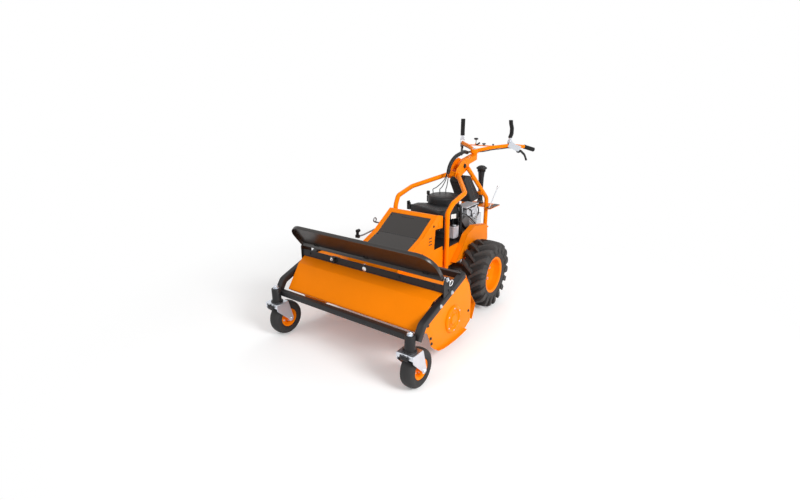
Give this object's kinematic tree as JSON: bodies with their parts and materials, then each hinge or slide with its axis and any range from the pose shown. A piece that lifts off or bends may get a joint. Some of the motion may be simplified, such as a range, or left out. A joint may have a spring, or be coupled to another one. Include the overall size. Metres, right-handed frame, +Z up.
{
  "type": "hammer knife mower",
  "caption": "Walk-behind hammer knife mower with tractor drive wheels, swivelling front casters, flail deck, folding front flap and a tilting, swivelling handlebar.",
  "frame": {"origin": "on the ground under the middle of the machine's footprint", "axes": "+Z up, +Y back towards the handlebar, +X to the machine's left"},
  "size_m": [1.206, 2.2194, 1.3548],
  "materials": {
    "orange_paint": "gloss orange powder coat",
    "black_paint": "satin black powder coat",
    "black_gloss": "gloss black coat",
    "zinc": "bright zinc plate",
    "tyre_rubber": "moulded tyre rubber",
    "black_plastic": "grained black plastic",
    "cast_aluminium": "die cast",
    "cast_iron": "rough cast",
    "grip_rubber": "matt rubber",
    "tool_steel": "bare forged steel",
    "belt_rubber": "belt rubber"
  },
  "bodies": {
    "chassis": {"transaxle": "cast_iron", "deck_frame": "black_paint", "deck_hood": "orange_paint", "side_plate_left": "orange_paint", "side_plate_right": "orange_paint", "rotor_bearing_left": "orange_paint", "deck_gearbox": "cast_iron", "rotor_belt_cover": "orange_paint", "rotor_belt": "belt_rubber", "blade_belt": "belt_rubber", "chassis_frame": "orange_paint", "guard_frame": "orange_paint", "guard_panel": "black_gloss", "tube_frame": "orange_paint", "fuel_tank": "black_plastic", "air_intake": "black_plastic", "engine_block": "cast_aluminium", "blower_housing": "black_plastic", "airbox": "black_plastic", "muffler": "cast_iron", "fender_left": "orange_paint", "fender_right": "orange_paint", "flap_crossbar": "black_paint", "flap_hinge_rod": "zinc", "cable_loom": "black_plastic"},
    "rotor": {"flail_rotor": "tool_steel", "rotor_pulley": "cast_iron"},
    "cross_drive": {"cross_shaft": "tool_steel"},
    "gearbox_drive": {"gearbox_pulley": "cast_iron"},
    "engine_drive": {"engine_pulley": "cast_iron"},
    "flap": {"front_flap": "black_gloss"},
    "column": {"handlebar_column": "orange_paint"},
    "bars": {"handlebar": "orange_paint", "grip_left": "grip_rubber", "grip_right": "grip_rubber"},
    "throttle": {"throttle_lever": "black_plastic"},
    "shifter": {"gear_lever": "zinc"},
    "tank_cap": {"fuel_cap": "black_plastic"},
    "drive_wheel_left": {"drive_tyre_left": "tyre_rubber", "drive_rim_left": "orange_paint", "axle_shaft_left": "tool_steel"},
    "caster_swivel_left": {"caster_fork_left": "zinc"},
    "caster_wheel_left": {"caster_tyre_left": "tyre_rubber", "caster_rim_left": "orange_paint"},
    "caster_pedal_left": {"caster_brake_left": "black_plastic"},
    "clutch_left": {"grip_lever_left": "black_plastic"},
    "brake_left": {"brake_lever_left": "black_plastic"},
    "drive_wheel_right": {"drive_tyre_right": "tyre_rubber", "drive_rim_right": "orange_paint", "axle_shaft_right": "tool_steel"},
    "caster_swivel_right": {"caster_fork_right": "zinc"},
    "caster_wheel_right": {"caster_tyre_right": "tyre_rubber", "caster_rim_right": "orange_paint"},
    "caster_pedal_right": {"caster_brake_right": "black_plastic"},
    "clutch_right": {"grip_lever_right": "black_plastic"},
    "brake_right": {"brake_lever_right": "black_plastic"},
    "knives_1": {"knife_row_1": "tool_steel"},
    "knives_2": {"knife_row_2": "tool_steel"},
    "knives_3": {"knife_row_3": "tool_steel"},
    "knives_4": {"knife_row_4": "tool_steel"}
  },
  "joints": [
    {"name": "drive_wheel_left_spin", "type": "hinge", "parent": "chassis", "child": "drive_wheel_left", "pos_m": [0.357, 0.22251, 0.254], "axis": [1, 0, 0], "continuous": true},
    {"name": "caster_left_swivel", "type": "hinge", "parent": "chassis", "child": "caster_swivel_left", "pos_m": [0.539, -1.04049, 0.345], "axis": [0, 0, 1], "continuous": true},
    {"name": "caster_left_spin", "type": "hinge", "parent": "caster_swivel_left", "child": "caster_wheel_left", "pos_m": [0.539, -0.98049, 0.116], "axis": [1, 0, 0], "continuous": true},
    {"name": "caster_left_pedal", "type": "hinge", "parent": "caster_swivel_left", "child": "caster_pedal_left", "pos_m": [0.539, -1.09575, 0.2329], "axis": [1, 0, 0], "range_deg": [0, 8]},
    {"name": "drive_wheel_right_spin", "type": "hinge", "parent": "chassis", "child": "drive_wheel_right", "pos_m": [-0.357, 0.22251, 0.254], "axis": [1, 0, 0], "continuous": true},
    {"name": "caster_right_swivel", "type": "hinge", "parent": "chassis", "child": "caster_swivel_right", "pos_m": [-0.539, -1.04049, 0.345], "axis": [0, 0, 1], "continuous": true},
    {"name": "caster_right_spin", "type": "hinge", "parent": "caster_swivel_right", "child": "caster_wheel_right", "pos_m": [-0.539, -0.98049, 0.116], "axis": [1, 0, 0], "continuous": true},
    {"name": "caster_right_pedal", "type": "hinge", "parent": "caster_swivel_right", "child": "caster_pedal_right", "pos_m": [-0.539, -1.09575, 0.2329], "axis": [1, 0, 0], "range_deg": [0, 8]},
    {"name": "rotor_spin", "type": "hinge", "parent": "chassis", "child": "rotor", "pos_m": [0, -0.54349, 0.227], "axis": [1, 0, 0], "continuous": true},
    {"name": "knives_1_swing", "type": "hinge", "parent": "rotor", "child": "knives_1", "pos_m": [0, -0.49541, 0.27508], "axis": [1, 0, 0], "range_deg": [0, 270]},
    {"name": "knives_2_swing", "type": "hinge", "parent": "rotor", "child": "knives_2", "pos_m": [0, -0.59157, 0.27508], "axis": [1, 0, 0], "range_deg": [-270, 0]},
    {"name": "knives_3_swing", "type": "hinge", "parent": "rotor", "child": "knives_3", "pos_m": [0, -0.59157, 0.17892], "axis": [1, 0, 0], "range_deg": [-180, 90]},
    {"name": "knives_4_swing", "type": "hinge", "parent": "rotor", "child": "knives_4", "pos_m": [0, -0.49541, 0.17892], "axis": [1, 0, 0], "range_deg": [-90, 180]},
    {"name": "cross_shaft_spin", "type": "hinge", "parent": "chassis", "child": "cross_drive", "pos_m": [0, -0.21749, 0.35], "axis": [1, 0, 0], "continuous": true},
    {"name": "gearbox_pulley_spin", "type": "hinge", "parent": "chassis", "child": "gearbox_drive", "pos_m": [0, -0.21749, 0.43], "axis": [0, 0, 1], "continuous": true},
    {"name": "engine_pulley_spin", "type": "hinge", "parent": "chassis", "child": "engine_drive", "pos_m": [0, 0.19251, 0.43], "axis": [0, 0, 1], "continuous": true},
    {"name": "flap_tilt", "type": "hinge", "parent": "chassis", "child": "flap", "pos_m": [0, -0.73049, 0.566], "axis": [1, 0, 0], "range_deg": [-75, 50]},
    {"name": "column_tilt", "type": "hinge", "parent": "chassis", "child": "column", "pos_m": [0, 0.44351, 1.017], "axis": [1, 0, 0], "range_deg": [-10, 5]},
    {"name": "handlebar_swivel", "type": "hinge", "parent": "column", "child": "bars", "pos_m": [0, 0.67451, 1.092], "axis": [0, 0, 1], "range_deg": [-30, 30]},
    {"name": "clutch_left_press", "type": "hinge", "parent": "bars", "child": "clutch_left", "pos_m": [0.222, 0.87251, 1.182], "axis": [-0.8627, 0.5057, 0], "range_deg": [0, 80], "stiffness_Nm_per_rad": 1, "springref_deg": -17.19},
    {"name": "brake_left_squeeze", "type": "hinge", "parent": "bars", "child": "brake_left", "pos_m": [0.2616, 0.94786, 1.10665], "axis": [0.8627, -0.5057, 0], "range_deg": [0, 20], "stiffness_Nm_per_rad": 1, "springref_deg": -17.19},
    {"name": "clutch_right_press", "type": "hinge", "parent": "bars", "child": "clutch_right", "pos_m": [-0.222, 0.87251, 1.182], "axis": [-0.8627, -0.5057, 0], "range_deg": [0, 80], "stiffness_Nm_per_rad": 1, "springref_deg": -17.19},
    {"name": "brake_right_squeeze", "type": "hinge", "parent": "bars", "child": "brake_right", "pos_m": [-0.2616, 0.94786, 1.10665], "axis": [0.8627, 0.5057, 0], "range_deg": [0, 20], "stiffness_Nm_per_rad": 1, "springref_deg": -17.19},
    {"name": "throttle_set", "type": "hinge", "parent": "bars", "child": "throttle", "pos_m": [-0.045, 0.79651, 1.15425], "axis": [1, 0, 0], "range_deg": [-35, 35]},
    {"name": "gear_select", "type": "hinge", "parent": "chassis", "child": "shifter", "pos_m": [0.15, 0.69751, 0.6375], "axis": [1, 0, 0], "range_deg": [-15, 40]},
    {"name": "fuel_cap_turn", "type": "hinge", "parent": "chassis", "child": "tank_cap", "pos_m": [0, 0.59122, 0.82874], "axis": [0, 0.7366, 0.6763], "range_deg": [0, 90]}
  ],
  "couplings": [
    {"joint": "cross_shaft_spin", "follows": "rotor_spin", "ratio": 1.3333},
    {"joint": "gearbox_pulley_spin", "follows": "rotor_spin", "ratio": 1.3333},
    {"joint": "engine_pulley_spin", "follows": "rotor_spin", "ratio": 1.3333}
  ]
}
